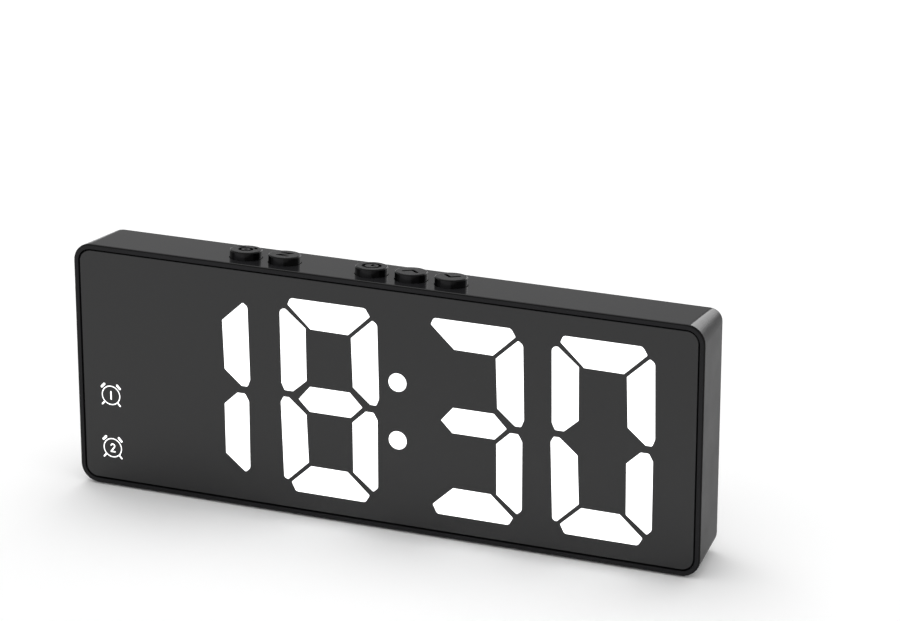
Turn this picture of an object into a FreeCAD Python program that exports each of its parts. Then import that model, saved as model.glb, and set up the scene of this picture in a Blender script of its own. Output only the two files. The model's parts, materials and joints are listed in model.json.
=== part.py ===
import FreeCAD, Part
# Digital alarm clock: a slim black desk clock with a seven-segment display, five keys on top, a vented
# rear cover with a battery bay, and a low-voltage inlet.
#
# Frame: the display faces -Y, +X is to the right as it is read, and +Z is up. The origin is under the
# middle of the clock, on the surface it stands on. Lengths are in millimetres.
import math
import os
import re
import Sketcher
from FreeCAD import Placement, Rotation, Vector

os.makedirs("parts", exist_ok=True)
doc = FreeCAD.newDocument("AlarmClock")

# ---------------------------------------------------------------- driving dimensions

SIZES = (
    ("width", 160.0, "housing width at its front edge"),
    ("depth", 25.0, "display face to the back of the battery bulge"),
    ("top", 62.0, "height of the housing's top front edge"),
    ("base", 0.3, "height of the housing's bottom front edge above the feet"),
    ("frame_depth", 17.1, "length of the front frame, front to back"),
    ("draft", 1.55, "how far each outer wall leans in over the frame's depth"),
    ("corner", 4.6, "corner radius at the front edge"),
    ("edge_round", 0.45, "rounding of the frame's front outer edge"),
    ("bezel", 1.25, "rim round the lens"),
    ("lens_gap", 0.32, "groove between rim and lens"),
    ("lens_thick", 1.8, "lens panel"),
    ("lens_set", 0.1, "lens face behind the rim"),
    ("window_play", 0.04, "clearance round each lit window"),
    ("cavity_side", 3.6, "front outline to cavity, at the sides"),
    ("cavity_low", 3.6, "cavity floor height"),
    ("cavity_high", 58.7, "cavity ceiling height"),
    ("inner_corner", 1.6, "corner radius of the cavity"),
    ("diffuser_thick", 0.2, "diffuser sheet"),
    ("reflector_front", 2.15, "front of the reflector block, from the display face"),
    ("reflector_back", 4.15, "back of the reflector block"),
    ("board_back", 5.2, "back of the display board"),
    ("stack_side", 5.6, "front outline to the reflector and board, at the sides"),
    ("stack_low", 4.2, "lower edge of the reflector and board"),
    ("stack_high", 56.2, "upper edge of the reflector and board"),
    ("cover_gap", 0.4, "parting groove between frame and rear cover"),
    ("cover_inset", 0.15, "rear cover's edge inside the frame's"),
    ("cover_back", 18.7, "rear panel face, from the display face"),
    ("cover_round", 1.15, "rounding of the rear cover's edge"),
    ("lip_thick", 1.2, "rear cover's spigot lip"),
    ("lip_play", 0.12, "spigot lip to frame"),
    ("lip_front", 15.6, "front of the spigot lip"),
    ("wall", 1.6, "wall of the bulge"),
    ("bulge_half", 74.8, "half length of the bulge at the rear panel"),
    ("bulge_end", 10.0, "how far each end of the bulge slopes in"),
    ("bulge_high", 28.4, "top of the bulge at the rear panel"),
    ("bulge_drop", 3.35, "how far the bulge's top slopes down"),
    ("bulge_round", 0.85, "rounding of the bulge's edges"),
    ("bulge_step", 0.7, "raised border at the foot of the bulge's slopes"),
    ("bulge_ledge", 0.65, "how far the slopes start inside the border"),
    ("border_round", 0.5, "rounding of the border's edge"),
    ("border_corner", 1.4, "corner radius of the border"),
    ("slot_width", 12.0, "one vent slot"),
    ("slot_height", 1.75, "one vent slot"),
    ("slot_pitch", 24.0, "vent groups, centre to centre"),
    ("row_pitch", 3.5, "vent rows, centre to centre"),
    ("row_middle", 34.45, "height of the middle vent row"),
    ("channel_depth", 0.6, "shallow channel that joins the slots of a row"),
    ("channel_half", 61.3, "half length of the upper and lower channels"),
    ("channel_half_middle", 64.2, "half length of the middle channel"),
    ("port_x", -32.1, "sound port"),
    ("port_z", 36.7, "sound port"),
    ("port_radius", 1.15, "sound port"),
    ("port_disc", 6.65, "radius of the buzzer seat behind the port"),
    ("buzzer_radius", 6.0, "buzzer"),
    ("buzzer_long", 5.5, "buzzer"),
    ("jack_x", -51.0, "inlet"),
    ("jack_z", 22.6, "inlet"),
    ("jack_recess", 3.05, "radius of the round recess at the inlet"),
    ("jack_recess_z", 22.9, "height of the recess, which breaks out of the bulge's top edge"),
    ("jack_set", 0.9, "recess floor below the bulge's face"),
    ("jack_nose", 2.6, "radius of the inlet's nose behind the recess floor"),
    ("jack_bore", 1.9, "radius of the inlet's bore"),
    ("jack_pin", 0.65, "radius of the inlet's centre pin"),
    ("door_start", 12.1, "inner end of the door's recess"),
    ("door_low", 3.3, "door's lower edge"),
    ("door_high", 24.55, "door's upper edge"),
    ("door_thick", 1.5, "battery door"),
    ("door_play", 0.12, "clearance round the door"),
    ("tongue", 0.3, "how far the door's edge tongues reach into their grooves"),
    ("tongue_thick", 0.75, "thickness of the tongues"),
    ("cell_radius", 5.2, "cylindrical cell"),
    ("cell_long", 43.6, "cell without its cap"),
    ("cell_back", 18.05, "cell axis, from the display face"),
    ("cell_low_z", 9.45, "axis of the lower cell"),
    ("cell_high_z", 20.0, "axis of the upper cell"),
    ("contact_thick", 0.35, "battery contact plates"),
    ("bay_start", 14.6, "inner end of the battery bay"),
    ("bay_stop", 63.4, "outer end of the battery bay"),
    ("key_radius", 3.9, "key cap"),
    ("key_height", 2.0, "key cap above the housing"),
    ("key_round", 0.35, "rounding of the cap's top edge"),
    ("key_back", 7.2, "key axis at the housing's surface, from the display face"),
    ("key_play", 0.15, "cap to housing, radially"),
    ("key_travel", 0.6, "key travel"),
    ("key_first", -37.4, "first key of the left pair"),
    ("key_third", -4.9, "first key of the right group"),
    ("key_pitch", 10.1, "keys, centre to centre"),
    ("engraving", 0.45, "depth of the symbols in the key caps"),
    ("lens_edge", 0.18, "chamfer round the lens's face"),
    ("foot_inset", 1.2, "foot inside the housing's outline"),
)

sheet = doc.addObject("Spreadsheet::Sheet", "Sizes")
for row, (alias, value, note) in enumerate(SIZES, 1):
    sheet.set(f"A{row}", note)
    sheet.set(f"B{row}", str(value))
    sheet.setAlias(f"B{row}", alias)
doc.recompute()
size = {alias: float(sheet.get(alias)) for alias, _, _ in SIZES}

# Values worked out from them, for the shapes that are built in code.
FRONT = -size["depth"] / 2
LEAN = math.degrees(math.atan2(size["draft"], size["frame_depth"]))
KEY_X = (
    size["key_first"],
    size["key_first"] + size["key_pitch"],
    size["key_third"],
    size["key_third"] + size["key_pitch"],
    size["key_third"] + 2 * size["key_pitch"],
)
KEY_NAMES = ("alarm", "snooze", "clock", "up", "down")
KEY_SURFACE = size["top"] - size["draft"] * size["key_back"] / size["frame_depth"]

# ---------------------------------------------------------------- helpers

NAME = re.compile(r"[A-Za-z_]\w*")
ALONG_Y = Rotation(Vector(1, 0, 0), -90)


def formula(text):
    """The text with every spreadsheet alias in it pointed at the sheet."""
    return NAME.sub(lambda m: f"Sizes.{m.group()}" if m.group() in size else m.group(), str(text))


def bind(piece, **formulas):
    """Binds properties to formulas; x, y and z stand for the placement's base."""
    for name, text in formulas.items():
        path = f"Placement.Base.{name}" if name in ("x", "y", "z") else name
        piece.setExpression(path, formula(text))
    return piece


def back(distance):
    """Formula of Y for a distance behind the display face."""
    return f"-depth / 2 + ({distance})"


def box(name, x, y, z):
    """A box; x, y and z are each a pair of formulas (low, high), y counted back from the display face."""
    piece = doc.addObject("Part::Box", name)
    spans = (("Length", "x", x), ("Width", "y", (back(y[0]), back(y[1]))), ("Height", "z", z))
    for side, axis, (low, high) in spans:
        bind(piece, **{side: f"({high}) - ({low})", axis: low})
    return piece


def rod(name, radius, x, z, y):
    """A cylinder along +Y between the two distances y behind the display face."""
    piece = doc.addObject("Part::Cylinder", name)
    piece.Placement = Placement(Vector(), ALONG_Y)
    return bind(piece, Radius=radius, Height=f"({y[1]}) - ({y[0]})", x=x, y=back(y[0]), z=z)


def fuse(name, *pieces):
    piece = doc.addObject("Part::MultiFuse", name)
    piece.Shapes = list(pieces)
    return piece


def cut(name, base, *tools):
    piece = doc.addObject("Part::Cut", name)
    piece.Base = base
    piece.Tool = tools[0] if len(tools) == 1 else fuse(name + "_tools", *tools)
    return piece


def common(name, *pieces):
    piece = doc.addObject("Part::MultiCommon", name)
    piece.Shapes = list(pieces)
    return piece


def shaped(name, shape):
    """A piece whose shape is built in code from the sheet's sizes."""
    piece = doc.addObject("Part::Feature", name)
    piece.Shape = shape
    return piece


def group(solids):
    return Part.Compound(list(solids))


def rounded(name, base, radius, chosen, kind="Part::Fillet"):
    """Rounds the edges of base for which chosen(edge) is true."""
    doc.recompute()
    piece = doc.addObject(kind, name)
    piece.Base = base
    piece.Edges = [(i, size[radius], size[radius]) for i, e in enumerate(base.Shape.Edges, 1) if chosen(e)]
    return piece


def chamfered(name, base, width, chosen):
    return rounded(name, base, width, chosen, "Part::Chamfer")


def plane(body, role):
    return next(f for f in body.Origin.OriginFeatures if f.Role == role)


def outline(body, name, y, half, low, high, radius):
    """A sketch of an upright rounded rectangle, centred on X = 0, at distance y behind the display face."""
    sketch = body.newObject("Sketcher::SketchObject", name)
    sketch.AttachmentSupport = [(plane(body, "XZ_Plane"), "")]
    sketch.MapMode = "FlatFace"
    sketch.setExpression("AttachmentOffset.Base.z", formula(f"-({back(y)})"))
    right, left, floor, ceiling, bend = 70, -70, 5, 55, 2
    lines = (
        ((left + bend, floor), (right - bend, floor)),
        ((right, floor + bend), (right, ceiling - bend)),
        ((right - bend, ceiling), (left + bend, ceiling)),
        ((left, ceiling - bend), (left, floor + bend)),
    )
    centres = ((right - bend, floor + bend), (right - bend, ceiling - bend),
               (left + bend, ceiling - bend), (left + bend, floor + bend))
    for start, end in lines:
        sketch.addGeometry(Part.LineSegment(Vector(*start, 0), Vector(*end, 0)))
    for quarter, centre in enumerate(centres):
        circle = Part.Circle(Vector(*centre, 0), Vector(0, 0, 1), bend)
        start = (quarter - 1) * math.pi / 2
        sketch.addGeometry(Part.ArcOfCircle(circle, start, start + math.pi / 2))
    constrain = Sketcher.Constraint
    for i in range(4):
        sketch.addConstraint(constrain("Tangent", i, 2, 4 + i, 1))
        sketch.addConstraint(constrain("Tangent", 4 + i, 2, (i + 1) % 4, 1))
        sketch.addConstraint(constrain("Horizontal" if i % 2 == 0 else "Vertical", i))
    for i in range(1, 4):
        sketch.addConstraint(constrain("Equal", 4, 4 + i))
    for label, rule, expression in (
        ("Bend", constrain("Radius", 4, bend), radius),
        ("Right", constrain("DistanceX", -1, 1, 1, 1, right), half),
        ("Left", constrain("DistanceX", 3, 1, -1, 1, right), half),
        ("Floor", constrain("DistanceY", -1, 1, 0, 1, floor), low),
        ("Ceiling", constrain("DistanceY", -1, 1, 2, 1, ceiling), high),
    ):
        index = sketch.addConstraint(rule)
        sketch.renameConstraint(index, label)
        sketch.setExpression(f"Constraints.{label}", formula(expression))
    return sketch


def pad(body, sketch, length, lean=None):
    """Thickens a sketch towards the back; lean is the draft angle's formula."""
    feature = body.newObject("PartDesign::Pad", sketch.Name + "_pad")
    feature.Profile = sketch
    feature.Reversed = True
    bind(feature, Length=length)
    if lean:
        bind(feature, TaperAngle=lean)
    return feature


def pocket(body, sketch, depth):
    """Cuts a sketch's outline away towards the back, and makes sure that it did."""
    doc.recompute()
    before = body.Shape.Volume
    feature = body.newObject("PartDesign::Pocket", sketch.Name + "_pocket")
    feature.Profile = sketch
    bind(feature, Length=depth)
    doc.recompute()
    if body.Shape.Volume > before - 1:
        raise RuntimeError(f"{feature.Name} cuts nothing")
    return feature


def slab(name, y, half, low, high, radius):
    """An upright rounded plate between the two distances y, as a body with one pad."""
    body = doc.addObject("PartDesign::Body", name)
    pad(body, outline(body, name + "_outline", y[0], half, low, high, radius), f"({y[1]}) - ({y[0]})")
    return body


# ---------------------------------------------------------------- flat shapes for windows and symbols


def rounded_face(points):
    """An upright face through (x, z, radius) corners, each an arc tangent to its two sides."""
    corners = []
    for i, (x, z, radius) in enumerate(points):
        here = Vector(x, 0, z)
        to_last = (Vector(points[i - 1][0], 0, points[i - 1][1]) - here).normalize()
        following = points[(i + 1) % len(points)]
        to_next = (Vector(following[0], 0, following[1]) - here).normalize()
        half = to_last.getAngle(to_next) / 2
        reach = radius / math.tan(half)
        middle = here + (to_last + to_next).normalize() * (radius / math.sin(half) - radius)
        corners.append((here + to_last * reach, middle, here + to_next * reach))
    edges = []
    for i, (start, middle, end) in enumerate(corners):
        edges.append(Part.Arc(start, middle, end).toShape())
        edges.append(Part.LineSegment(end, corners[(i + 1) % len(corners)][0]).toShape())
    return Part.Face(Part.Wire(edges))


def disc(x, z, radius):
    return Part.Face(Part.Wire(Part.makeCircle(radius, Vector(x, 0, z), Vector(0, 1, 0))))


def ring(x, z, radius, line):
    return disc(x, z, radius + line / 2).cut(disc(x, z, radius - line / 2))


def stroke(start, end, line):
    """A straight stroke with round ends."""
    start, end = Vector(start[0], 0, start[1]), Vector(end[0], 0, end[1])
    along = (end - start).normalize() * (line / 2)
    side = Vector(-along.z, 0, along.x)
    edges = (
        Part.LineSegment(start + side, end + side).toShape(),
        Part.Arc(end + side, end + along, end - side).toShape(),
        Part.LineSegment(end - side, start - side).toShape(),
        Part.Arc(start - side, start - along, start + side).toShape(),
    )
    return Part.Face(Part.Wire(edges))


def merged(faces):
    """Overlapping flat shapes joined into as few faces as there are separate islands."""
    return faces[0].fuse(faces[1:]).removeSplitter()


def joined(faces):
    return merged(faces).Faces[0]


def thick(face, y, play=0.0):
    """A flat shape made solid between the two distances y, grown by play all round."""
    grown = face.makeOffset2D(play) if play else face
    solid = grown.extrude(Vector(0, y[1] - y[0], 0))
    solid.translate(Vector(0, FRONT + y[0], 0))
    return solid


# ---------------------------------------------------------------- the seven-segment digits

# Outline of each segment as (x, z, corner radius): x from the digit's middle, z above the surface.
SEGMENTS = {
    "top": ((-10.6, 53.6, 0.3), (-4.75, 48.1, 0.15), (4.9, 48.0, 0.15), (10.5, 53.3, 0.3),
            (9.3, 55.25, 1.1), (-9.9, 55.25, 0.9)),
    "upper_left": ((-12.7, 52.3, 1.2), (-11.2, 52.4, 0.35), (-6.05, 48.15, 0.15), (-5.95, 35.0, 0.15),
                   (-9.5, 31.85, 0.5), (-11.7, 31.85, 0.4), (-12.5, 33.6, 0.6)),
    "upper_right": ((5.65, 47.35, 0.15), (6.05, 35.05, 0.15), (10.45, 31.3, 0.45), (12.0, 31.3, 0.45),
                    (12.7, 33.1, 0.6), (12.35, 51.6, 1.2), (11.15, 52.45, 0.35)),
    "middle": ((-8.05, 30.1, 0.15), (-5.05, 33.6, 0.15), (5.2, 33.6, 0.15), (8.4, 30.3, 0.15),
               (5.4, 27.25, 0.15), (-5.2, 27.25, 0.15)),
    "lower_left": ((-12.75, 28.8, 0.6), (-12.0, 30.15, 0.4), (-10.6, 30.15, 0.4), (-6.1, 26.35, 0.15),
                   (-5.65, 14.25, 0.15), (-11.1, 9.1, 0.35), (-12.15, 9.4, 0.9)),
    "lower_right": ((5.85, 26.15, 0.15), (9.3, 29.4, 0.45), (11.3, 29.4, 0.5), (12.3, 27.6, 0.8),
                    (12.3, 10.4, 1.2), (11.1, 9.25, 0.4), (5.95, 13.45, 0.15)),
    "bottom": ((-10.2, 8.55, 0.3), (-5.0, 13.35, 0.15), (4.45, 13.3, 0.15), (10.1, 8.15, 0.3),
               (9.0, 6.25, 0.9), (-9.1, 6.3, 0.9)),
}
DIGITS = (
    ("digit_hour_tens", -46.3, ("upper_right", "lower_right")),
    ("digit_hour_units", -12.85, tuple(SEGMENTS)),
    ("digit_minute_tens", 23.7, ("top", "upper_right", "middle", "lower_right", "bottom")),
    ("digit_minute_units", 55.8, tuple(s for s in SEGMENTS if s != "middle")),
)
COLON_X, COLON_RADIUS, COLON_Z = 4.6, 2.28, (37.9, 23.35)
ICON_X, ICON_Z = -71.1, (23.75, 10.05)
# The icons are inlaid in the lens rather than cut through it, as a ring's middle would drop out.
ICON_FLOOR = 0.9


def segment_face(name, middle):
    return rounded_face([(x + middle, z, r) for x, z, r in SEGMENTS[name]])


def alarm_icon(z, numeral):
    """A pictogram of a bell alarm clock round a numeral, as separate flat shapes."""
    x = ICON_X
    legs = [stroke((x + side * 1.8, z - 1.8), (x + side * 2.4, z - 2.5), 0.36) for side in (-1, 1)]
    body = joined([disc(x, z, 2.49), *legs]).cut(disc(x, z, 2.27)).Faces[0]
    bells = [stroke((x - 2.45, z + 2.0), (x - 1.75, z + 2.75), 0.56),
             stroke((x + 2.45, z + 2.0), (x + 1.75, z + 2.75), 0.56)]
    return [body, *bells, numeral(x, z)]


def numeral_one(x, z):
    return stroke((x, z - 0.95), (x, z + 0.95), 0.34)


def numeral_two(x, z):
    bend = [(x + 0.5 * math.cos(a) + 0.05, z + 0.5 + 0.5 * math.sin(a))
            for a in (math.radians(d) for d in (165, 125, 85, 45, 5, -35))]
    path = bend + [(x - 0.48, z - 1.0), (x + 0.6, z - 1.0)]
    return joined([stroke(a, b, 0.3) for a, b in zip(path, path[1:])])


lit_faces = {name: [segment_face(s, middle) for s in lit] for name, middle, lit in DIGITS}
lit_faces["colon_dots"] = [disc(COLON_X, z, COLON_RADIUS) for z in COLON_Z]
lit_faces["alarm_icon_one"] = alarm_icon(ICON_Z[0], numeral_one)
lit_faces["alarm_icon_two"] = alarm_icon(ICON_Z[1], numeral_two)

# ---------------------------------------------------------------- front frame

lean_angle = "-atan(draft / frame_depth)"


def front_frame():
    """The drafted sleeve with its rim, the lens recess, the cavity, key holes and screw posts."""
    body = doc.addObject("PartDesign::Body", "frame_sleeve")
    pad(body, outline(body, "frame_outline", "0", "width / 2", "base", "top", "corner"),
        "frame_depth", lean_angle)
    recess = outline(body, "lens_recess", "0", "width / 2 - bezel", "base + bezel", "top - bezel",
                     "corner - bezel")
    pocket(body, recess, "lens_set + lens_thick")
    hollow = outline(body, "cavity", "0", "width / 2 - cavity_side", "cavity_low", "cavity_high",
                     "inner_corner")
    pocket(body, hollow, "frame_depth + 1")
    sleeve = rounded("frame_rounded", body, "edge_round", lambda e: on_front_outline(e))
    posts = []
    for i, (x, z) in enumerate(SCREW_PLACES):
        posts.append(screw_post(i, x, z))
    solid = fuse("frame_with_posts", sleeve, *posts)
    tools = [key_hole(i, x) for i, x in enumerate(KEY_X)]
    tools += [rod(f"post_bore_{i}", "0.85", x, z, ("2.2", "reflector_back + 1"))
              for i, (x, z) in enumerate(SCREW_PLACES)]
    return cut("front_frame", solid, *tools, *snaps("snap_pocket", 0.1))


def on_front_outline(edge):
    """True for an edge of the frame's outer front rim."""
    bounds = edge.BoundBox
    flat = bounds.YMax - bounds.YMin < 0.01 and abs(bounds.YMin - FRONT) < 0.01
    inside = size["width"] / 2 - size["bezel"]
    middle = edge.valueAt((edge.FirstParameter + edge.LastParameter) / 2)
    beyond = abs(middle.x) > inside + 0.2
    beyond = beyond or middle.z > size["top"] - size["bezel"] + 0.2
    beyond = beyond or middle.z < size["base"] + size["bezel"] - 0.2
    return flat and (beyond or on_outer_corner(middle))


def on_outer_corner(point):
    """True if the point is on the corner arcs of the outer rim rather than of the lens recess."""
    centre_x = size["width"] / 2 - size["corner"]
    low, high = size["base"] + size["corner"], size["top"] - size["corner"]
    if abs(point.x) < centre_x or low < point.z < high:
        return False
    centre_z = high if point.z > high else low
    return math.hypot(abs(point.x) - centre_x, point.z - centre_z) > size["corner"] - size["bezel"] / 2


# Screw posts in the frame's corners, where the display leaves room: (x, z).
SNAP_X = (-52.0, 0.0, 52.0)
SCREW_PLACES = ((-73.6, 55.9), (73.6, 55.9), (73.6, 6.4), (-73.6, 36.0))


def snaps(name, play):
    """Ridges on the cover's lip that click into the frame; grown by play for the frame's pockets."""
    ridges = []
    for i, x in enumerate(SNAP_X):
        for side, (low, high) in (("low", ("cavity_low - 0.3", "cavity_low + lip_play + 0.3")),
                                  ("high", ("cavity_high - lip_play - 0.3", "cavity_high + 0.3"))):
            ridges.append(box(f"{name}_{side}_{i}", (x - 6 - play, x + 6 + play),
                              (f"lip_front + 0.4 - {play}", f"lip_front + 1.1 + {play}"),
                              (f"{low} - {play}", f"{high} + {play}")))
    return ridges


def screw_post(i, x, z):
    side = 1 if x > 0 else -1
    wall = side * (size["width"] / 2 - size["cavity_side"] + 0.5)
    low, high = sorted((x - side * 2.3, wall))
    return box(f"post_{i}", (low, high), ("lens_set + lens_thick + 0.05", "reflector_back - 0.05"),
               (z - 2.3, z + 2.3))


def key_hole(i, x):
    hole = doc.addObject("Part::Cylinder", f"key_hole_{i}")
    bind(hole, Radius="key_radius + key_play", Height="8")
    tilt = Rotation(Vector(1, 0, 0), -LEAN)
    start = Vector(x, FRONT + size["key_back"], KEY_SURFACE) + tilt.multVec(Vector(0, 0, -5))
    hole.Placement = Placement(start, tilt)
    return hole


# ---------------------------------------------------------------- display stack


def lens_panel():
    """The dark front panel, with a window for every lit shape."""
    edge = "bezel + lens_gap"
    plate = slab("lens_plate", ("lens_set", "lens_set + lens_thick"), f"width / 2 - ({edge})",
                 f"base + {edge}", f"top - ({edge})", f"corner - ({edge})")
    windows = []
    for name, faces in lit_faces.items():
        floor = ICON_FLOOR if name.startswith("alarm") else size["lens_set"] + size["lens_thick"] + 1
        windows += [thick(face, (size["lens_set"] - 1, floor), size["window_play"]) for face in faces]
    face = FRONT + size["lens_set"]
    edged = chamfered("lens_edged", plate, "lens_edge", lambda e: e.BoundBox.YMax < face + 0.01)
    return cut("lens_panel", edged, shaped("lens_windows", group(windows)))


def light_guides():
    """The lit shapes: translucent guides that fill the lens windows, one node for each character."""
    guides = []
    for name, faces in lit_faces.items():
        floor = ICON_FLOOR - 0.02 if name.startswith("alarm") else size["lens_set"] + size["lens_thick"]
        span = (size["lens_set"] + 0.04, floor)
        guides.append(shaped(name, group(thick(face, span) for face in faces)))
    return guides


def diffuser_sheet():
    start = "lens_set + lens_thick + 0.02"
    sheet_body = slab("diffuser_plate", (start, f"{start} + diffuser_thick"), "width / 2 - stack_side",
                      "stack_low", "stack_high", "inner_corner")
    return cut("diffuser_sheet", sheet_body, *stack_notches("diffuser"))


def stack_notches(name):
    """Room for the screw posts in the sheet and the reflector."""
    notches = []
    for i, (x, z) in enumerate(SCREW_PLACES):
        side = 1 if x > 0 else -1
        low, high = sorted((x - side * 2.5, side * size["width"] / 2))
        notches.append(box(f"{name}_notch_{i}", (low, high), ("0", "reflector_back + 1"),
                           (z - 2.5, z + 2.5)))
    return notches


def segment_reflector():
    """The white light box behind the display, with a well for every segment, dot and icon."""
    plate = slab("reflector_plate", ("reflector_front", "reflector_back - 0.02"), "width / 2 - stack_side",
                 "stack_low", "stack_high", "inner_corner")
    span = (size["reflector_front"] - 1, size["reflector_back"] + 1)
    wells = [thick(segment_face(s, middle), span, 0.12) for _, middle, _ in DIGITS for s in SEGMENTS]
    wells += [thick(disc(COLON_X, z, COLON_RADIUS), span, 0.12) for z in COLON_Z]
    wells += [thick(disc(ICON_X, z, 3.0), span) for z in ICON_Z]
    return cut("segment_reflector", plate, shaped("reflector_wells", group(wells)),
               *stack_notches("reflector"))


def display_board():
    plate = slab("board_plate", ("reflector_back", "board_back"), "width / 2 - cavity_side - 0.4",
                 "stack_low", "stack_high", "inner_corner")
    holes = [rod(f"board_hole_{i}", "1.15", x, z, ("0", "board_back + 1"))
             for i, (x, z) in enumerate(SCREW_PLACES)]
    return cut("display_board", plate, *holes)


def display_leds():
    """One small lamp package behind the middle of every segment, dot and icon."""
    places = [(face.CenterOfMass.x, face.CenterOfMass.z)
              for _, middle, _ in DIGITS for face in (segment_face(s, middle) for s in SEGMENTS)]
    places += [(COLON_X, z) for z in COLON_Z] + [(ICON_X, z) for z in ICON_Z]
    wide, tall, proud = 1.6, 2.8, 0.7
    corner = FRONT + size["reflector_back"] - proud
    return shaped("display_leds", group(
        Part.makeBox(wide, proud, tall, Vector(x - wide / 2, corner, z - tall / 2)) for x, z in places))


def board_screws():
    solids = []
    for x, z in SCREW_PLACES:
        head = Part.makeCylinder(1.9, 1.2, Vector(x, FRONT + size["board_back"], z), Vector(0, 1, 0))
        shank = Part.makeCylinder(0.8, 2.9, Vector(x, FRONT + size["board_back"], z), Vector(0, -1, 0))
        slot = Part.makeBox(2.6, 0.6, 0.4, Vector(x - 1.3, FRONT + size["board_back"] + 0.7, z - 0.2))
        cross = Part.makeBox(0.4, 0.6, 2.6, Vector(x - 0.2, FRONT + size["board_back"] + 0.7, z - 1.3))
        solids.append(head.fuse(shank).cut(slot).cut(cross).removeSplitter())
    return shaped("board_screws", group(solids))


def clock_chip():
    """The controller, a small-outline package with its rows of leads."""
    face = FRONT + size["board_back"]
    case = Part.makeBox(13.0, 2.2, 7.4, Vector(-20, face + 0.15, 26))
    leads = []
    for i in range(10):
        for z in (24.9, 33.4):
            leads.append(Part.makeBox(0.42, 0.5, 1.1, Vector(-19.5 + 1.27 * i, face + 0.02, z)))
    return shaped("clock_chip", group([case.fuse(leads).removeSplitter()]))


def quartz_crystal():
    can = Part.makeCylinder(1.0, 6.0, Vector(0, FRONT + size["board_back"] + 1.1, 24), Vector(0, 0, 1))
    rim = Part.makeCylinder(1.15, 0.5, Vector(0, FRONT + size["board_back"] + 1.2, 23.6), Vector(0, 0, 1))
    return shaped("quartz_crystal", can.fuse(rim).removeSplitter())


def smoothing_capacitor():
    base = Vector(-52, FRONT + size["board_back"] + 0.05, 36)
    can = Part.makeCylinder(2.5, 5.4, base + Vector(0, 0.6, 0), Vector(0, 1, 0))
    foot = Part.makeBox(5.3, 0.9, 5.3, base + Vector(-2.65, 0, -2.65))
    return shaped("smoothing_capacitor", can.fuse(foot).removeSplitter())


# ---------------------------------------------------------------- keys

PLUNGER_TOP = 56.0
PLUNGER_BACK = 6.75


def key_switches():
    """Five side-press switch bodies on the back of the board, each with a well for its plunger."""
    solids = []
    for x in KEY_X:
        start = Vector(x - 3.0, FRONT + size["board_back"] + 0.03, 51.2)
        case = Part.makeBox(6.0, 3.5, 3.6, start)
        well = Part.makeCylinder(1.2, 4, Vector(x, FRONT + PLUNGER_BACK, 53.2), Vector(0, 0, 1))
        solids.append(case.cut(well))
    return shaped("key_switches", group(solids))


def plunger(i, name):
    stem = doc.addObject("Part::Cylinder", f"plunger_{name}")
    stem.Placement = Placement(Vector(KEY_X[i], FRONT + PLUNGER_BACK, PLUNGER_TOP - 2.0), Rotation())
    stem.Radius = 1.0
    stem.Height = 2.0
    return stem


def key_symbol(name):
    """The symbol in a key cap, as flat shapes in the XZ plane about the cap's middle."""
    if name == "alarm":
        return [ring(0, -0.2, 1.45, 0.75), stroke((-2.1, 1.25), (-1.4, 1.95), 0.75),
                stroke((2.1, 1.25), (1.4, 1.95), 0.75), disc(0, -0.2, 0.5)]
    if name == "snooze":
        return [stroke((-1.3, 1.4), (1.3, 1.4), 0.75), stroke((1.3, 1.4), (-1.3, -1.4), 0.75),
                stroke((-1.3, -1.4), (1.3, -1.4), 0.75)]
    if name == "clock":
        return [ring(0, 0, 2.0, 0.75), stroke((0, 0), (0, 0.95), 0.6), stroke((0, 0), (0.8, 0), 0.6)]
    rise = 0.8 if name == "up" else -0.8
    return [stroke((-1.7, -rise), (0, rise), 0.85), stroke((0, rise), (1.7, -rise), 0.85)]


def key_cap(i, name):
    """Cap, retaining flange and stem, leaning with the housing's top."""
    cap = doc.addObject("Part::Cylinder", f"cap_{name}")
    bind(cap, Radius="key_radius", Height="key_height + 3.3", z="-3.3")
    smooth = rounded(f"cap_round_{name}", cap, "key_round",
                     lambda e: abs(e.BoundBox.ZMin - size["key_height"]) < 0.01)
    flange = doc.addObject("Part::Cylinder", f"flange_{name}")
    bind(flange, Radius="key_radius + 0.5", Height="0.75", z="-4.0")
    stem = doc.addObject("Part::Cylinder", f"stem_{name}")
    bind(stem, Radius="1.3", Height="1.3", z="-5.2")
    engraver = shaped(f"symbol_{name}", merged(key_symbol(name)).extrude(Vector(0, 2, 0)))
    engraver.Placement = Placement(Vector(0, 0, size["key_height"] - size["engraving"] + 2), ALONG_Y)
    key = cut(f"key_{name}", fuse(f"key_blank_{name}", smooth, flange, stem), engraver)
    key.Placement = Placement(Vector(KEY_X[i], FRONT + size["key_back"], KEY_SURFACE),
                              Rotation(Vector(1, 0, 0), -LEAN))
    return key


# ---------------------------------------------------------------- rear cover


def bulge(name, offset, y, floor=None, step="0", ledge="0"):
    """The long frustum on the rear cover; offset shrinks it for its inside, y is its span.
    Its slopes start at the height step above the panel, inset by ledge."""
    run = f"(depth - cover_back - {step})"
    end_slope, top_slope = f"((bulge_end - {ledge}) / {run})", f"((bulge_drop - {ledge}) / {run})"
    side = f"({offset}) * sqrt(1 + pow({end_slope}; 2))"
    rise = f"({offset}) * sqrt(1 + pow({top_slope}; 2))"
    piece = doc.addObject("Part::Wedge", name)
    for suffix, at in (("", y[0]), ("2", y[1])):
        half = f"bulge_half - {ledge} - ({at} - cover_back - {step}) * {end_slope} - {side}"
        low = floor or f"base + ({at}) * draft / frame_depth"
        high = f"bulge_high - {ledge} - ({at} - cover_back - {step}) * {top_slope} - {rise}"
        bind(piece, **{f"X{suffix}min": f"-({half})", f"X{suffix}max": half,
                       f"Z{suffix}min": low, f"Z{suffix}max": high})
    return bind(piece, Ymin=back(y[0]), Ymax=back(y[1]))


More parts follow.
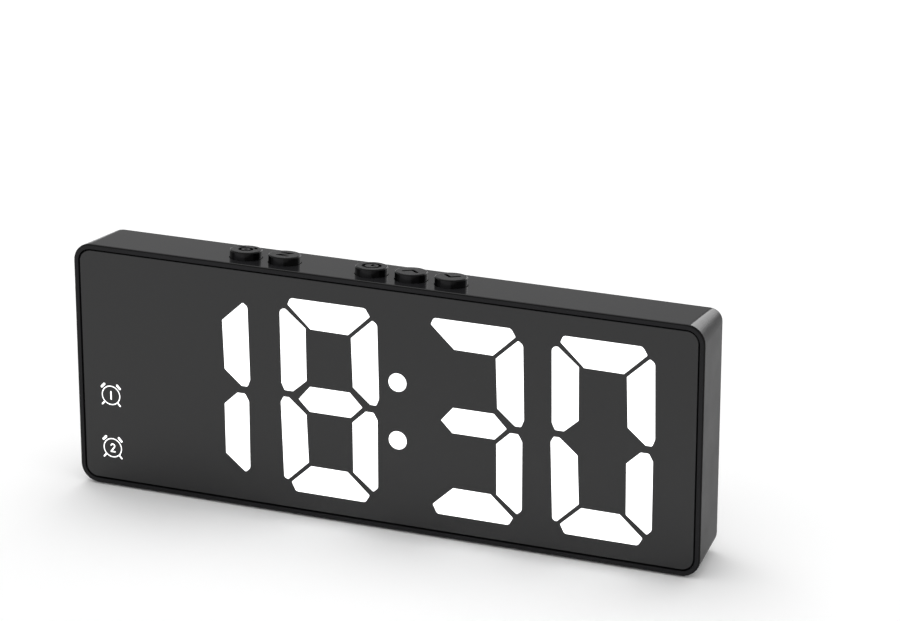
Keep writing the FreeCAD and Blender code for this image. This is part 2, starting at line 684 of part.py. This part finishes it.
def rounded_hump(name, y):
    """The outside of the bulge with its rear edges and its sloping edges rounded."""
    return rounded(name, bulge(name + "_block", "0", y, None, "bulge_step", "bulge_ledge"), "bulge_round",
                   lambda e: e.BoundBox.YMax > size["depth"] / 2 - 0.01)


def bulge_border():
    """The low raised border that the bulge's slopes rise from."""
    plate = slab("border_plate", ("cover_back - 0.5", "cover_back + bulge_step"), "bulge_half",
                 "base + (cover_back + bulge_step) * draft / frame_depth", "bulge_high", "border_corner")
    return rounded("border", plate, "border_round",
                   lambda e: e.BoundBox.YMin > FRONT + size["cover_back"] + size["bulge_step"] - 0.01)


def vent_row(row):
    """Channel and slots of one vent row; row is -1, 0 or 1 from the lowest up."""
    height = f"row_middle + ({row}) * row_pitch"
    half = "channel_half_middle" if row == 0 else "channel_half"
    depth = ("cover_back - channel_depth", "cover_back + 1")
    pieces = [box(f"channel_{row + 2}", (f"-({half}) + slot_height / 2", f"{half} - slot_height / 2"), depth,
                  (f"{height} - slot_height / 2", f"{height} + slot_height / 2"))]
    for side in (-1, 1):
        pieces.append(rod(f"channel_end_{row + 2}_{side + 2}", "slot_height / 2",
                          f"{side} * ({half} - slot_height / 2)", height, depth))
    for i in range(-2, 3):
        pieces.append(box(f"slot_{row + 2}_{i + 3}",
                          (f"{i} * slot_pitch - slot_width / 2", f"{i} * slot_pitch + slot_width / 2"),
                          ("frame_depth", "cover_back + 1"),
                          (f"{height} - slot_height / 2", f"{height} + slot_height / 2")))
    return pieces


def door_space(name, play):
    """The battery door's plate and tongues, grown by play for the recess it slides in."""
    stop = f"depth / 2 + 80 * ({play})"
    plate = doc.addObject("Part::Wedge", name + "_plate")
    start = "door_start + 0.15" if play == "0" else "door_start"
    bind(plate, Xmin=start, X2min=start, Xmax="width / 2", X2max="width / 2",
         Zmin=f"door_low - ({play})", Z2min=f"door_low - ({play})",
         Zmax=f"door_high + ({play})", Z2max=f"door_high + ({play})",
         Ymin=back("depth - door_thick"), Ymax=stop)
    tongues = box(name + "_tongues", (f"door_start + 0.5 - ({play})", "width / 2"),
                  ("depth - door_thick", f"depth - door_thick + tongue_thick + ({play})"),
                  (f"door_low - tongue - ({play})", f"door_high + tongue + ({play})"))
    return fuse(name, plate, tongues)


def rear_cover():
    """Panel with vents, spigot lip, hollow bulge, battery bay, buzzer seat and inlet hole."""
    plate = slab("cover_plate", ("frame_depth + cover_gap", "cover_back"),
                 "width / 2 - draft - cover_inset", "base + draft + cover_inset",
                 "top - draft - cover_inset", "corner - draft")
    panel = rounded("cover_panel", plate, "cover_round",
                    lambda e: e.BoundBox.YMin > FRONT + size["cover_back"] - 0.01)
    lip = slab("lip_plate", ("lip_front", "frame_depth + cover_gap + 0.01"),
               "width / 2 - cavity_side - lip_play", "cavity_low + lip_play", "cavity_high - lip_play",
               "inner_corner - lip_play")
    lip_hollow = slab("lip_hollow", ("lip_front - 1", "frame_depth + cover_gap"),
                      "width / 2 - cavity_side - lip_play - lip_thick", "cavity_low + lip_play + lip_thick",
                      "cavity_high - lip_play - lip_thick", "0.4")
    hump = rounded_hump("cover_hump", ("cover_back + bulge_step - 0.15", "depth"))
    shell = cut("cover_shell", fuse("cover_solid", panel, bulge_border(), hump, cut("lip_ring", lip, lip_hollow)),
                bulge("bulge_inside", "wall", ("frame_depth - 2", "depth - wall"),
                      "cavity_low + lip_play + lip_thick"))
    vented = cut("cover_vented", shell, *[p for row in (-1, 0, 1) for p in vent_row(row)])
    extras = battery_bay_walls() + buzzer_seat() + jack_shelf() + snaps("snap", 0)
    whole = fuse("cover_whole", vented, *extras)
    return cut("rear_cover", whole, door_space("door_recess", "door_play"), *bay_hollows(),
               rod("sound_port", "port_radius", "port_x", "port_z", ("lip_front - 2", "depth")),
               rod("jack_recess_cut", "jack_recess", "jack_x", "jack_recess_z",
                   ("depth - jack_set", "depth + 1")),
               rod("jack_hole", "jack_bore + 0.05", "jack_x", "jack_z", ("depth - wall - 1", "depth")),
               rod("jack_relief", "jack_nose + 0.1", "jack_x", "jack_z", ("18.9", "depth - wall + 0.02")))


def battery_bay_walls():
    """Solid block that the bay is hollowed from, stepped to stay inside the bulge."""
    return [box("bay_block", ("bay_start - 1.2", "bay_stop + 1.2"), ("cell_back - cell_radius - 1.4", "21.4"),
                ("cavity_low + lip_play", "cell_high_z + cell_radius + 1.2")),
            box("bay_front", ("bay_start - 1.2", "bay_stop + 1.2"), ("21.3", "depth - 0.9"),
                ("cavity_low + lip_play", "cell_high_z + cell_radius"))]


def bay_hollows():
    return [box("bay_room", ("bay_start", "bay_stop"), ("cell_back - cell_radius - 0.1", "21.8"),
                ("cell_low_z - cell_radius - 0.1", "cell_high_z + cell_radius + 0.1")),
            box("bay_mouth", ("bay_start", "bay_stop"), ("21.7", "depth - door_thick + 0.01"),
                ("door_low + 1.2", "door_high - 0.7"))]


def buzzer_seat():
    seat = rod("buzzer_disc", "port_disc", "port_x", "port_z", ("frame_depth - 0.2", "cover_back - 0.8"))
    tube = rod("buzzer_tube", "port_disc", "port_x", "port_z", ("13.2", "frame_depth"))
    bore = rod("buzzer_bore", "buzzer_radius + 0.1", "port_x", "port_z", ("12", "frame_depth - 0.2"))
    return [seat, cut("buzzer_ring", tube, bore)]


def jack_shelf():
    """A shelf from the bulge's floor that carries the inlet's board."""
    return [box("jack_shelf", ("jack_x - 6", "jack_x + 6"), ("16.6", "depth - wall - 0.5"),
                ("cavity_low + lip_play", "jack_z - 4.78"))]


def door_arrow():
    """Saw-tooth thumb grip: a triangle pointing along +X, its steps facing the thumb."""
    tip, tall, middle, pitch, deep = 25.6, 14.2, 15.2, 2.2, 0.45
    first = size["door_start"] + 0.6 + pitch
    outline_face = Part.Face(Part.makePolygon([
        Vector(tip, 0, middle), Vector(first - pitch, 0, middle - tall / 2),
        Vector(first - pitch, 0, middle + tall / 2), Vector(tip, 0, middle)]))
    arrow = outline_face.extrude(Vector(0, 3, 0))
    arrow.translate(Vector(0, size["depth"] / 2 - 1, 0))
    teeth = []
    for i in range(5):
        wall = first + pitch * i
        face = Part.Face(Part.makePolygon([
            Vector(wall, size["depth"] / 2 - deep, 0), Vector(wall, size["depth"] / 2 + deep, 0),
            Vector(wall - 2 * pitch, size["depth"] / 2 + deep, 0),
            Vector(wall, size["depth"] / 2 - deep, 0)]))
        teeth.append(face.extrude(Vector(0, 0, size["top"])).common(arrow))
    return shaped("door_arrow", group(teeth))


def battery_door():
    plain = common("door_fitted", door_space("door_blank", "0"),
                   rounded_hump("door_hump", ("frame_depth + cover_gap", "depth")))
    bevel = rounded("door_rounded", plain, "key_round",
                    lambda e: abs(e.BoundBox.XMax - size["door_start"] - 0.15) < 0.01
                    and e.BoundBox.YMin > size["depth"] / 2 - 0.01)
    return cut("battery_door", bevel, door_arrow())


# ---------------------------------------------------------------- power and sound


CAP_LONG = 1.0


def bay_plate_face(side):
    """X of the inner face of the contact plates on one side of the bay."""
    return size["bay_stop"] - size["contact_thick"] if side > 0 else size["bay_start"] + size["contact_thick"]


def cell(name, z, cap_side):
    """A cylindrical cell along X; cap_side is the side its cap points to."""
    long, radius = size["cell_long"], size["cell_radius"]
    axis = Vector(cap_side, 0, 0)
    flat_end = bay_plate_face(cap_side) - cap_side * (0.05 + CAP_LONG + long)
    start = Vector(flat_end, FRONT + size["cell_back"], z)
    can = Part.makeCylinder(radius, long, start, axis)
    ends = [e for e in can.Edges if len(e.Vertexes) == 1 and e.Curve.TypeId == "Part::GeomCircle"]
    can = can.makeFillet(0.5, ends)
    cap = Part.makeCylinder(1.9, CAP_LONG + 0.01, start + axis * (long - 0.01), axis)
    return shaped(name, can.fuse(cap).removeSplitter())


def battery_springs():
    """A conical compression spring for each cell's flat end."""
    solids = []
    wire_radius, coil_radius, pitch = 0.25, 3.6, 0.95
    gap = abs(bay_plate_face(1) - bay_plate_face(-1)) - size["cell_long"] - CAP_LONG - 0.05
    for z, side in ((size["cell_low_z"], 1), (size["cell_high_z"], -1)):
        path = Part.makeHelix(pitch, gap - 2 * wire_radius - 0.1, coil_radius)
        start = path.Edges[0].valueAt(path.Edges[0].FirstParameter)
        along = path.Edges[0].tangentAt(path.Edges[0].FirstParameter)
        profile = Part.Wire(Part.makeCircle(wire_radius, start, along))
        coil = Part.Wire(path.Edges).makePipeShell([profile], True, True)
        coil.rotate(Vector(), Vector(0, 1, 0), -90 * side)
        coil.translate(Vector(bay_plate_face(side) - side * (wire_radius + 0.05),
                              FRONT + size["cell_back"], z))
        solids.append(coil)
    return shaped("battery_springs", group(solids))


def battery_contacts():
    """Nickel plates at both ends of the bay: one behind each spring and cap."""
    plates = []
    thin, deep, tall = size["contact_thick"] - 0.02, 7.6, 8.6
    for low in (size["bay_start"] + 0.02, size["bay_stop"] - size["contact_thick"]):
        for z in (size["cell_low_z"], size["cell_high_z"]):
            corner = Vector(low, FRONT + size["cell_back"] - deep / 2, z - tall / 2)
            plates.append(Part.makeBox(thin, deep, tall, corner))
    return shaped("battery_contacts", group(plates))


def buzzer():
    y = FRONT + size["frame_depth"] - 0.25 - size["buzzer_long"]
    case = Part.makeCylinder(size["buzzer_radius"], size["buzzer_long"],
                             Vector(size["port_x"], y, size["port_z"]), Vector(0, 1, 0))
    mouth = Part.makeCylinder(1.1, 1.5, Vector(size["port_x"], y + size["buzzer_long"] - 1.5, size["port_z"]),
                              Vector(0, 1, 0))
    return shaped("buzzer", case.cut(mouth))


def dc_jack():
    """Panel inlet: block, round nose and bore."""
    nose = rod("jack_nose_rod", "jack_nose", "jack_x", "jack_z", ("18.9", "depth - wall - 0.02"))
    block = box("jack_block", ("jack_x - 4", "jack_x + 4"), ("10.6", "18.9"), ("jack_z - 3.7", "jack_z + 3.1"))
    bore = rod("jack_bore_tool", "jack_bore", "jack_x", "jack_z", ("14.6", "depth + 1"))
    return cut("dc_jack", fuse("jack_solid", nose, block), bore)


def jack_centre_pin():
    return rod("jack_centre_pin", "jack_pin", "jack_x", "jack_z", ("14.62", "18.5"))


def jack_board():
    return box("jack_board", ("jack_x - 6.5", "jack_x + 6.5"), ("10.2", "22.0"),
               ("jack_z - 4.75", "jack_z - 3.75"))


def leads():
    """Insulated pairs from the display board to the battery bay, the buzzer and the inlet's board."""
    routes = (
        ((8.0, 17.0), (11.0, 16.0), (size["bay_start"] - 2.2, 12.4)),
        ((-24.0, 42.0), (-27.0, 41.5), (size["port_x"] + 3.0, size["port_z"] + 1.0)),
        ((-40.0, 12.0), (-46.0, 14.0), (size["jack_x"], size["jack_z"] - 2.2)),
    )
    ends = (12.0, 10.8, 9.8)
    radius, apart, solids = 0.45, 1.3, []
    for (start, middle, finish), end in zip(routes, ends):
        for shift in (-apart / 2, apart / 2):
            depths = (size["board_back"] + 0.6, size["board_back"] + 2.6, end)
            points = [Vector(x, FRONT + deep, z + shift)
                      for (x, z), deep in zip((start, middle, finish), depths)]
            curve = Part.BSplineCurve()
            curve.interpolate(points)
            profile = Part.Wire(Part.makeCircle(radius, points[0], curve.tangent(curve.FirstParameter)[0]))
            solids.append(Part.Wire(curve.toShape()).makePipeShell([profile], True, True))
    return shaped("leads", group(solids))


# ---------------------------------------------------------------- feet


def foot(name, y):
    """A rubber strip that fills the wedge between the housing's sloping floor and the surface."""
    block = box(name + "_block", ("-width / 2 + draft + corner / 2", "width / 2 - draft - corner / 2"), y,
                ("0", "base + 2.4"))
    return block


def front_foot():
    """Under the frame, from just behind its front edge."""
    block = foot("front_foot", ("foot_inset", "frame_depth - 0.3"))
    return cut("front_foot", block, housing_floor("front_foot_floor"))


def rear_foot():
    """Under the rear cover's bulge."""
    ends = doc.addObject("Part::Wedge", "rear_foot_plan")
    slope = "bulge_end / (depth - cover_back)"
    wide = "bulge_half - foot_inset * 1.5"
    bind(ends, Xmin=f"-({wide})", Xmax=wide, X2min=f"-({wide} - {slope} * (depth - cover_back - foot_inset))",
         X2max=f"{wide} - {slope} * (depth - cover_back - foot_inset)", Zmin="0", Z2min="0",
         Zmax="base + 2.4", Z2max="base + 2.4", Ymin=back("cover_back"), Ymax=back("depth - foot_inset"))
    strip = box("rear_foot_strip", (f"-({wide})", wide), ("frame_depth + cover_gap + 0.1", "cover_back + 0.01"),
                ("0", "base + 2.4"))
    return cut("rear_foot", fuse("rear_foot_solid", ends, strip), housing_floor("rear_foot_floor"))


def housing_floor(name):
    """Everything above the housing's sloping underside, as a wedge."""
    piece = doc.addObject("Part::Wedge", name)
    low, high = "base - 0.01", "base - 0.01 + depth * draft / frame_depth"
    bind(piece, Xmin="-width", Xmax="width", X2min="-width", X2max="width", Zmin=low, Z2min=high,
         Zmax="10", Z2max="10", Ymin=back("0"), Ymax=back("depth"))
    return piece


# ---------------------------------------------------------------- assembly

nodes = [front_frame(), lens_panel(), *light_guides(), diffuser_sheet(), segment_reflector(),
         display_board(), display_leds(), board_screws(), clock_chip(), quartz_crystal(),
         smoothing_capacitor(), key_switches(), leads()]
for number, key_name in enumerate(KEY_NAMES):
    nodes += [key_cap(number, key_name), plunger(number, key_name)]
nodes += [rear_cover(), battery_door(), battery_springs(), battery_contacts(),
          cell("battery_lower", size["cell_low_z"], -1), cell("battery_upper", size["cell_high_z"], 1),
          buzzer(), dc_jack(), jack_centre_pin(), jack_board(), front_foot(), rear_foot()]

doc.recompute()
for thing in doc.Objects:
    if any(word in thing.State for word in ("Invalid", "Error")):
        raise RuntimeError(f"{thing.Name} failed: {thing.State}")
for node in nodes:
    shape = node.Shape
    if shape.isNull() or not shape.isValid() or not shape.Solids:
        raise RuntimeError(f"{node.Name} has no valid solid")
    node.Label = node.Name
    shape.exportStep(f"parts/{node.Label}.step")
    bounds = shape.BoundBox
    print(f"{node.Label:22s} solids {len(shape.Solids):3d}  volume {shape.Volume:9.1f}  "
          f"x {bounds.XMin:7.2f} {bounds.XMax:7.2f}  y {bounds.YMin:7.2f} {bounds.YMax:7.2f}  "
          f"z {bounds.ZMin:6.2f} {bounds.ZMax:6.2f}")
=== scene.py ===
import json
import math

import bpy
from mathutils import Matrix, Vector

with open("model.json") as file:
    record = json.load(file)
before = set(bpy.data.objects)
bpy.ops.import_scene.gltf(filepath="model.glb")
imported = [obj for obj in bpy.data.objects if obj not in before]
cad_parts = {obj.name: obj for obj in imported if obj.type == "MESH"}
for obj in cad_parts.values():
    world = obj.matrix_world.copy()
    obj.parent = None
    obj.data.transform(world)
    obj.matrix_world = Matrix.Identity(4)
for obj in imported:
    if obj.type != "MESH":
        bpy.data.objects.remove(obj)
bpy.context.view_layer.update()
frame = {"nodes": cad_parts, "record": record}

# A fine mould texture reflects less than bare plastic does, which this low index stands for.
MATT_IOR = 1.22
# The jacket's colour runs between these places along X, in metres.
JACKET_SPAN = (0.015, 0.063)
JACKET_COPPER = (0.32, 0.15, 0.06)

# ---------------------------------------------------------------- node helpers


class Shader:
    """A Principled material being wired up."""

    def __init__(self, name, **constants):
        self.material = bpy.data.materials.new(name)
        self.material.use_nodes = True
        self.tree = self.material.node_tree
        self.surface = self.tree.nodes["Principled BSDF"]
        for socket, value in constants.items():
            self.surface.inputs[socket.replace("_", " ")].default_value = value
        coordinates = self.node("ShaderNodeTexCoord")
        self.place = coordinates.outputs["Object"]
        self.normal = coordinates.outputs["Normal"]

    def node(self, kind, **values):
        made = self.tree.nodes.new(kind)
        for key, value in values.items():
            if key in made.inputs:
                made.inputs[key].default_value = value
            else:
                setattr(made, key, value)
        return made

    def link(self, source, target):
        self.tree.links.new(source, target)

    def noise(self, scale, detail=3.0, roughness=0.55, stretch=None):
        made = self.node("ShaderNodeTexNoise", Scale=scale, Detail=detail, Roughness=roughness)
        place = self.place
        if stretch:
            mapping = self.node("ShaderNodeMapping")
            mapping.inputs["Scale"].default_value = stretch
            self.link(place, mapping.inputs["Vector"])
            place = mapping.outputs["Vector"]
        self.link(place, made.inputs["Vector"])
        return made.outputs["Fac"]

    def grains(self, scale):
        made = self.node("ShaderNodeTexVoronoi", Scale=scale)
        self.link(self.place, made.inputs["Vector"])
        return made.outputs["Distance"]

    def spread(self, source, low, high, start=0.3, end=0.7):
        """Maps the part of a texture from start to end onto the range low to high."""
        made = self.node("ShaderNodeMapRange")
        for name, value in (("From Min", start), ("From Max", end), ("To Min", low), ("To Max", high)):
            made.inputs[name].default_value = value
        self.link(source, made.inputs["Value"])
        return made.outputs["Result"]

    def add(self, first, second, operation="ADD"):
        made = self.node("ShaderNodeMath", operation=operation)
        self.link(first, made.inputs[0])
        if isinstance(second, (int, float)):
            made.inputs[1].default_value = second
        else:
            self.link(second, made.inputs[1])
        return made.outputs[0]

    def colours(self, source, *stops):
        """Colour ramp through (position, colour) stops, into the base colour."""
        ramp = self.node("ShaderNodeValToRGB")
        elements = ramp.color_ramp.elements
        while len(elements) < len(stops):
            elements.new(0.5)
        for element, (position, colour) in zip(elements, stops):
            element.position = position
            element.color = (*colour, 1.0)
        self.link(source, ramp.inputs["Fac"])
        self.link(ramp.outputs["Color"], self.surface.inputs["Base Color"])

    def rough(self, source):
        self.link(source, self.surface.inputs["Roughness"])

    def bump(self, source, height):
        """Relief of the given height, in metres for a texture that runs from 0 to 1."""
        made = self.node("ShaderNodeBump", Strength=1.0, Distance=height)
        self.link(source, made.inputs["Height"])
        self.link(made.outputs["Normal"], self.surface.inputs["Normal"])


def near_black_moulding(name, colour, roughness, texture, grain=4200.0, end_roughness=None):
    """Injection-moulded black plastic: fine grain, faint flow variation and a little uneven polish.
    The rounded front edges are darkened with painted shade, picked out by the way they face, and the
    two ends can be given a coarser finish of their own."""
    shader = Shader(name, IOR=MATT_IOR)
    flow = shader.spread(shader.noise(26.0, 4.0, 0.5, (1.0, 1.0, 2.2)), 0.5, 1.0)
    facing = shader.node("ShaderNodeSeparateXYZ")
    shader.link(shader.normal, facing.inputs[0])

    # A front edge is where the surface turns from a side (0) to the front (1), without being either.
    # There the base colour is darkened as painted shade.
    towards_front = shader.add(facing.outputs["Y"], -1.0, "MULTIPLY")
    past_side = shader.spread(towards_front, 0.0, 1.0, 0.1, 0.3)
    before_front = shader.spread(towards_front, 1.0, 0.0, 0.9, 0.985)
    painted_shade_on_edge = shader.add(past_side, before_front, "MULTIPLY")
    # Random flow tone, with painted shade taken off the front edges.
    flow_and_painted_shade = shader.add(flow, shader.add(painted_shade_on_edge, -0.9, "MULTIPLY"))
    shader.colours(flow_and_painted_shade, (0.0, [c * 0.12 for c in colour]), (0.5, [c * 0.85 for c in colour]),
                   (1.0, colour))

    fine = shader.noise(grain, 2.0, 0.5)
    polish = shader.add(shader.spread(shader.noise(90.0, 5.0, 0.6), -0.03, 0.03), roughness)
    if end_roughness:
        sideways = shader.add(facing.outputs["X"], facing.outputs["X"], "MULTIPLY")
        polish = shader.add(polish, shader.spread(sideways, 0.0, end_roughness - roughness, 0.1, 0.7))
    shader.rough(shader.add(polish, shader.spread(fine, -0.015, 0.015)))
    shader.bump(fine, texture)
    return shader.material


def tinted_panel(name, colour):
    """Polished dark acrylic: nearly smooth, with faint hairlines and handling haze."""
    shader = Shader(name, IOR=1.49)
    haze = shader.noise(14.0, 5.0, 0.6)
    shader.colours(haze, (0.25, [c * 0.92 for c in colour]), (0.75, [c * 1.06 for c in colour]))
    hairlines = shader.noise(900.0, 4.0, 0.6, (1.0, 1.0, 0.06))
    shader.rough(shader.add(shader.spread(haze, 0.14, 0.19), shader.spread(hairlines, -0.02, 0.02)))
    shader.bump(shader.noise(1800.0, 2.0, 0.5), 0.6e-6)
    return shader.material


def light_guide(name, strength):
    """White translucent guide lit from behind, with the fine frost of its moulded face."""
    shader = Shader(name, IOR=1.49, Emission_Strength=strength)
    shader.surface.inputs["Emission Color"].default_value = (1.0, 1.0, 1.0, 1.0)
    frost = shader.noise(2500.0, 3.0, 0.6)
    shader.colours(shader.noise(60.0), (0.3, (0.86, 0.87, 0.88)), (0.7, (0.93, 0.94, 0.95)))
    shader.rough(shader.spread(frost, 0.32, 0.48))
    shader.bump(frost, 2.0e-6)
    return shader.material


def plain_moulding(name, colour, roughness):
    """Uncoloured or tinted moulding for the small parts inside."""
    shader = Shader(name, IOR=1.48)
    shader.colours(shader.noise(70.0, 4.0, 0.6), (0.3, [c * 0.86 for c in colour]), (0.7, colour))
    fine = shader.noise(1500.0, 3.0, 0.6)
    shader.rough(shader.spread(fine, roughness - 0.06, roughness + 0.06))
    shader.bump(fine, 4.0e-6)
    return shader.material


def rubber(name, colour):
    """Matt black rubber with a coarse grain and a little dust."""
    shader = Shader(name, IOR=1.12)
    dust = shader.noise(500.0, 6.0, 0.65)
    shader.colours(dust, (0.3, colour), (0.75, [c * 1.9 for c in colour]))
    shader.rough(shader.spread(dust, 0.72, 0.9))
    shader.bump(shader.grains(2600.0), 14.0e-6)
    return shader.material


def metal(name, colour, roughness, brushed=(1.0, 1.0, 1.0)):
    """Plated or brushed metal, dulled unevenly by handling."""
    shader = Shader(name, Metallic=1.0)
    wear = shader.noise(400.0, 5.0, 0.65)
    shader.colours(wear, (0.3, [c * 0.82 for c in colour]), (0.7, colour))
    lines = shader.noise(3000.0, 4.0, 0.6, brushed)
    shader.rough(shader.spread(lines, roughness - 0.08, roughness + 0.1))
    shader.bump(lines, 2.0e-6)
    return shader.material


def circuit_board(name, colour):
    """Solder mask over glass weave, with the lighter lines of tracks showing through."""
    shader = Shader(name, IOR=1.25)
    warp = shader.noise(1600.0, 1.0, 0.4, (1.0, 1.0, 0.15))
    weft = shader.noise(1600.0, 1.0, 0.4, (0.15, 1.0, 1.0))
    weave = shader.add(warp, weft)
    tracks = shader.node("ShaderNodeTexBrick", Scale=260.0)
    for socket, value in (("Color1", (0, 0, 0, 1)), ("Color2", (0, 0, 0, 1)), ("Mortar", (1, 1, 1, 1)),
                          ("Mortar Size", 0.03)):
        tracks.inputs[socket].default_value = value
    turn = shader.node("ShaderNodeMapping")
    turn.inputs["Rotation"].default_value = (math.pi / 2, 0, 0)
    shader.link(shader.place, turn.inputs["Vector"])
    shader.link(turn.outputs["Vector"], tracks.inputs["Vector"])
    lines = shader.node("ShaderNodeRGBToBW")
    shader.link(tracks.outputs["Color"], lines.inputs[0])
    shader.colours(shader.add(lines.outputs[0], shader.spread(weave, 0.0, 0.2, 0.6, 1.4)),
                   (0.0, [c * 0.6 for c in colour]), (0.25, colour), (1.0, [c * 2.6 for c in colour]))
    shader.rough(shader.spread(weave, 0.3, 0.42, 0.6, 1.4))
    shader.bump(lines.outputs[0], 25.0e-6)
    return shader.material


def printed_jacket(name):
    """A cell's shrink jacket: dark, with copper over the end nearer the middle of the clock, and no
    lettering."""
    shader = Shader(name, IOR=1.5)
    along = shader.node("ShaderNodeSeparateXYZ")
    shader.link(shader.place, along.inputs[0])
    band = shader.spread(along.outputs["X"], 0.0, 1.0, *JACKET_SPAN)
    shader.colours(band, (0.0, JACKET_COPPER), (0.2, JACKET_COPPER), (0.21, (0.012, 0.014, 0.02)),
                   (1.0, (0.018, 0.02, 0.03)))
    shader.surface.inputs["Metallic"].default_value = 0.35
    foil = shader.noise(700.0, 4.0, 0.6, (0.1, 1.0, 1.0))
    shader.rough(shader.spread(foil, 0.22, 0.36))
    shader.bump(foil, 5.0e-6)
    return shader.material


# ---------------------------------------------------------------- materials for the CAD nodes

BLACK = (0.0125, 0.0125, 0.0135)
REAR_BLACK = (0.008, 0.008, 0.0087)
SOLDER_MASK = (0.0035, 0.004, 0.0038)
REAR_FINISH = {"roughness": 0.2, "texture": 1.6e-6, "grain": 3000.0}
LENS_TINT = (0.0058, 0.0058, 0.0062)
LIT_STRENGTH = 1.15

finishes = {
    "housing": near_black_moulding("housing_black", BLACK, 0.1, 1.2e-6, end_roughness=0.42),
    "key": near_black_moulding("key_black", [c * 1.1 for c in BLACK], 0.18, 1.0e-6),
    "cover": near_black_moulding("cover_black", REAR_BLACK, **REAR_FINISH),
    "door": near_black_moulding("door_black", REAR_BLACK, **REAR_FINISH),
    "lens": tinted_panel("lens_tint", LENS_TINT),
    "lit": light_guide("lit_white", LIT_STRENGTH),
    # Real rubber feet, with their colour pushed near to black as painted shade for the dark gap under
    # the body.
    "foot": rubber("foot_rubber_painted_shade", (0.0022, 0.0022, 0.0022)),
    "diffuser": plain_moulding("diffuser_white", (0.82, 0.82, 0.8), 0.5),
    "reflector": plain_moulding("reflector_white", (0.85, 0.85, 0.83), 0.45),
    "board": circuit_board("board_black", SOLDER_MASK),
    "inlet_board": circuit_board("inlet_board_black", SOLDER_MASK),
    "lamp": plain_moulding("lamp_clear", (0.85, 0.8, 0.52), 0.2),
    "screw": metal("screw_zinc", (0.6, 0.6, 0.62), 0.35),
    "chip": plain_moulding("chip_black", (0.022, 0.022, 0.024), 0.6),
    "crystal": metal("crystal_can", (0.68, 0.68, 0.7), 0.28, (1.0, 1.0, 0.1)),
    "capacitor": plain_moulding("capacitor_sleeve", (0.014, 0.014, 0.016), 0.35),
    "switch": plain_moulding("switch_grey", (0.05, 0.05, 0.055), 0.5),
    "plunger": plain_moulding("plunger_ivory", (0.72, 0.7, 0.62), 0.45),
    "lead": plain_moulding("lead_black", (0.02, 0.02, 0.021), 0.45),
    "spring": metal("spring_nickel", (0.66, 0.64, 0.6), 0.25),
    "contact": metal("contact_nickel", (0.68, 0.66, 0.62), 0.3, (1.0, 1.0, 0.1)),
    "cell": printed_jacket("cell_jacket"),
    "buzzer": plain_moulding("buzzer_black", (0.02, 0.02, 0.02), 0.4),
    "inlet": plain_moulding("inlet_black", (0.015, 0.015, 0.016), 0.35),
    "pin": metal("pin_nickel", (0.4, 0.4, 0.41), 0.35),
}
for entry in frame["record"]["subparts"]:
    node = frame["nodes"][entry["node"]]
    finish = finishes[entry["material_slot"]]
    for holder in node.material_slots:
        holder.material = finish

# ---------------------------------------------------------------- stage, light and camera

FLOOR_HALF = 4.0
bpy.ops.mesh.primitive_plane_add(size=2 * FLOOR_HALF, location=(0, 0, 0))
floor = bpy.context.object
floor.name = "floor"
pale = Shader("floor_pale", IOR=1.4)
pale.surface.inputs["Specular IOR Level"].default_value = 0.0
speck = pale.noise(9.0, 4.0, 0.5)
pale.colours(speck, (0.3, (0.955, 0.955, 0.955)), (0.7, (0.97, 0.97, 0.97)))
pale.rough(pale.spread(speck, 0.6, 0.7))
floor.data.materials.append(pale.material)

scene = bpy.context.scene
scene.view_settings.view_transform = "Standard"
# The sky is brighter in front of the clock than behind it, where the top face would mirror it.
SKY_FRONT, SKY_BACK = 0.88, 0.45
FADE_START, FADE_END = 0.3, 0.85
world = bpy.data.worlds.new("studio")
world.use_nodes = True
sky = world.node_tree
direction = sky.nodes.new("ShaderNodeTexCoord")
parts = sky.nodes.new("ShaderNodeSeparateXYZ")
fade = sky.nodes.new("ShaderNodeMapRange")
for name, value in (("From Min", FADE_START), ("From Max", FADE_END), ("To Min", SKY_FRONT),
                    ("To Max", SKY_BACK)):
    fade.inputs[name].default_value = value
sky.links.new(direction.outputs["Generated"], parts.inputs[0])
sky.links.new(parts.outputs["Y"], fade.inputs["Value"])
sky.links.new(fade.outputs["Result"], sky.nodes["Background"].inputs["Strength"])
sky.nodes["Background"].inputs["Color"].default_value = (1, 1, 1, 1)
scene.world = world


def softbox(name, place, aim, width, height, power):
    """A large rectangular lamp that looks at the point aim."""
    lamp = bpy.data.lights.new(name, "AREA")
    lamp.shape = "RECTANGLE"
    lamp.size, lamp.size_y = width, height
    lamp.energy = power
    holder = bpy.data.objects.new(name, lamp)
    holder.location = place
    holder.rotation_euler = (Vector(aim) - Vector(place)).to_track_quat("-Z", "Y").to_euler()
    scene.collection.objects.link(holder)


softbox("key_light", (-0.3, 0.4, 1.1), (0, 0, 0.03), 0.8, 0.8, 4.6)
softbox("rim_light", (0.30, 1.05, 0.36), (0.07, 0, 0.05), 0.9, 0.34, 2.9)

CAMERA_PLACE = (0.3146, -0.7388, 0.3368)
CAMERA_TURN = math.radians(22.216)
CAMERA_DIP = math.radians(19.585)
CAMERA_LENS = 144.14
CAMERA_SENSOR = 36.0
CAMERA_NEAR = 0.01
camera = bpy.data.objects.new("camera", bpy.data.cameras.new("camera"))
camera.location = CAMERA_PLACE
camera.rotation_euler = (math.pi / 2 - CAMERA_DIP, 0, CAMERA_TURN)
camera.data.lens = CAMERA_LENS
camera.data.sensor_width = CAMERA_SENSOR
camera.data.clip_start = CAMERA_NEAR
scene.collection.objects.link(camera)
scene.camera = camera
